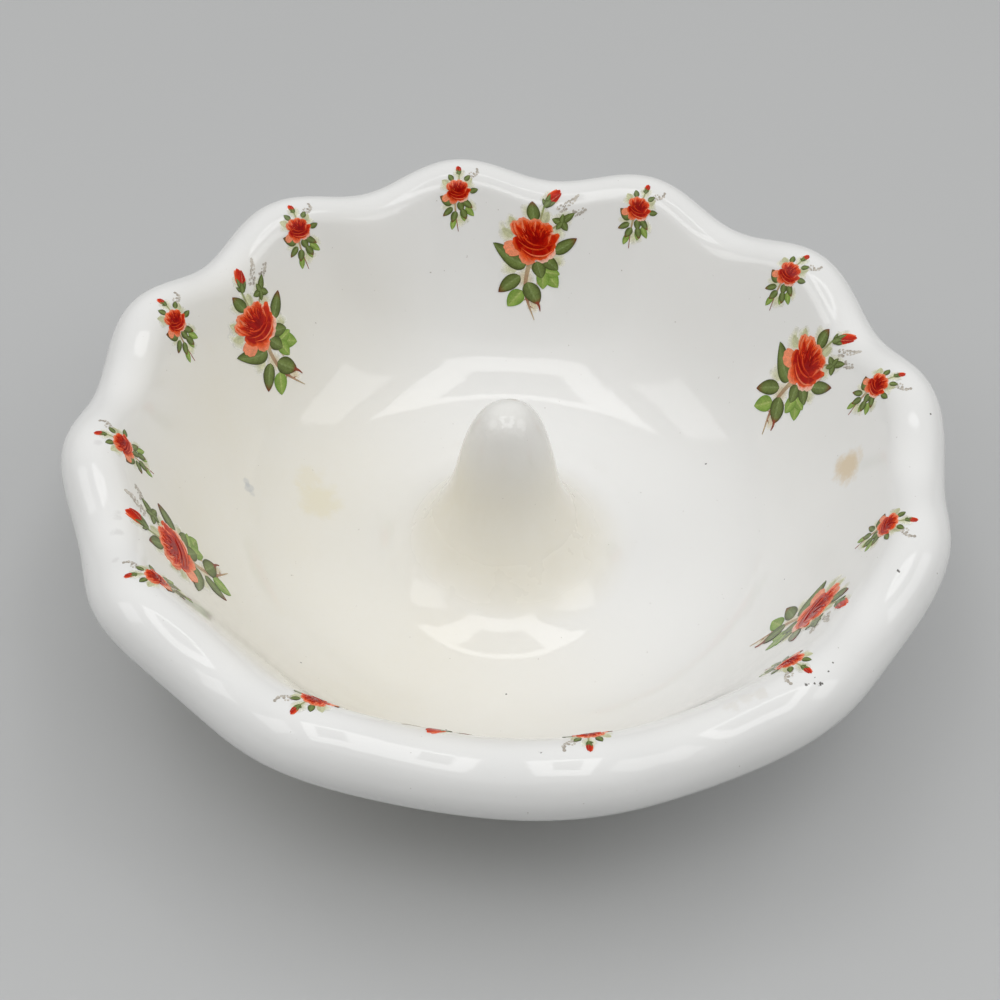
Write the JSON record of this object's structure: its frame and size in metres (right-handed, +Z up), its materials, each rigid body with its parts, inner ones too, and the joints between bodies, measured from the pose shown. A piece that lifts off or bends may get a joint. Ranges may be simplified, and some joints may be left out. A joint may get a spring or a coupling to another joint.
{
  "type": "ring dish",
  "caption": "Round ceramic trinket dish with a scalloped rolled rim, a domed cone in the middle that holds finger rings, and rose sprays fired on to the inner wall",
  "frame": {"origin": "middle of the plane that the foot ring stands on", "axes": "+Z is up through the tip of the ring cone, +X points to the middle of one lobe of the rim, and a large spray lies in every other valley from 15 degrees on"},
  "size_m": [0.1426, 0.1426, 0.0436],
  "materials": {
    "glazed_body": "smooth white glaze, glossy, faintly cream",
    "glazed_cone": "smooth white glaze, glossy, faintly cream",
    "rose_transfer": "overglaze print fired on, satin"
  },
  "bodies": {
    "root": {"bowl": "glazed_body", "ring_cone": "glazed_cone", "rose_decal_large_1": "rose_transfer", "rose_decal_large_2": "rose_transfer", "rose_decal_large_3": "rose_transfer", "rose_decal_large_4": "rose_transfer", "rose_decal_large_5": "rose_transfer", "rose_decal_large_6": "rose_transfer", "rose_decal_small_1": "rose_transfer", "rose_decal_small_2": "rose_transfer", "rose_decal_small_3": "rose_transfer", "rose_decal_small_4": "rose_transfer", "rose_decal_small_5": "rose_transfer", "rose_decal_small_6": "rose_transfer", "rose_decal_small_7": "rose_transfer", "rose_decal_small_8": "rose_transfer", "rose_decal_small_9": "rose_transfer", "rose_decal_small_10": "rose_transfer", "rose_decal_small_11": "rose_transfer", "rose_decal_small_12": "rose_transfer"}
  },
  "joints": []
}
